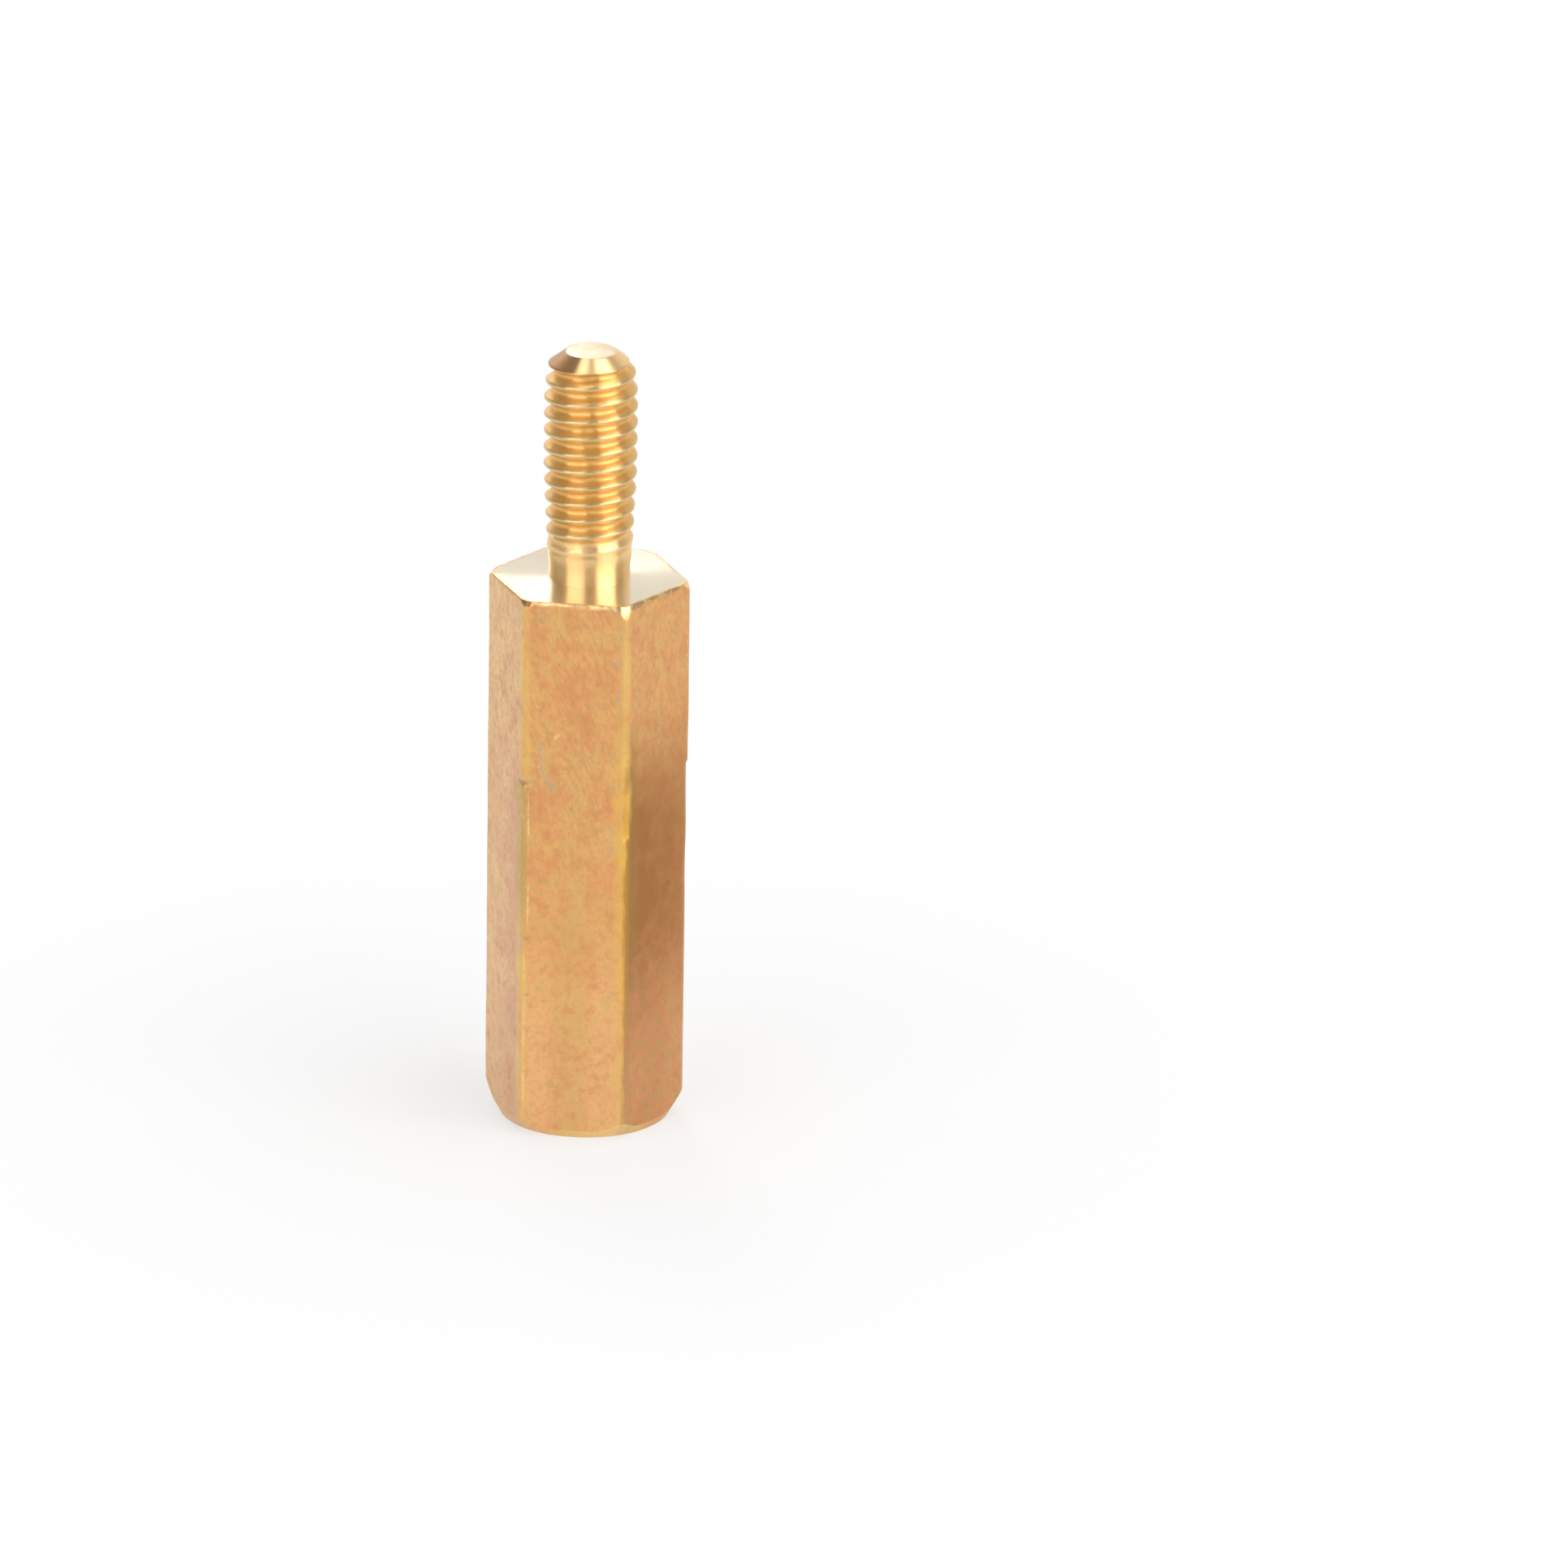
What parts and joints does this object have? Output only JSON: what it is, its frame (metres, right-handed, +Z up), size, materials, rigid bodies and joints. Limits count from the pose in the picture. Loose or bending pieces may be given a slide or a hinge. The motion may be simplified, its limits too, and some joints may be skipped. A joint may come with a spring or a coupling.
{
  "type": "hex standoff",
  "caption": "Slim brass hexagonal spacer with a threaded stud on top and a countersunk tapped hole in its foot.",
  "frame": {"origin": "centre of the foot ring, on the axis, at the mouth of the tapped hole", "axes": "+Z up the axis from the foot to the stud's tip; +Y and -Y are the outward normals of two of the six flats"},
  "size_m": [0.0052, 0.0046, 0.0208],
  "materials": {
    "brass": "drawn brass bar with a mottled orange-pink patina on the flats, bright turned shoulder, stud and countersink"
  },
  "bodies": {
    "root": {"standoff": "brass"}
  },
  "joints": []
}
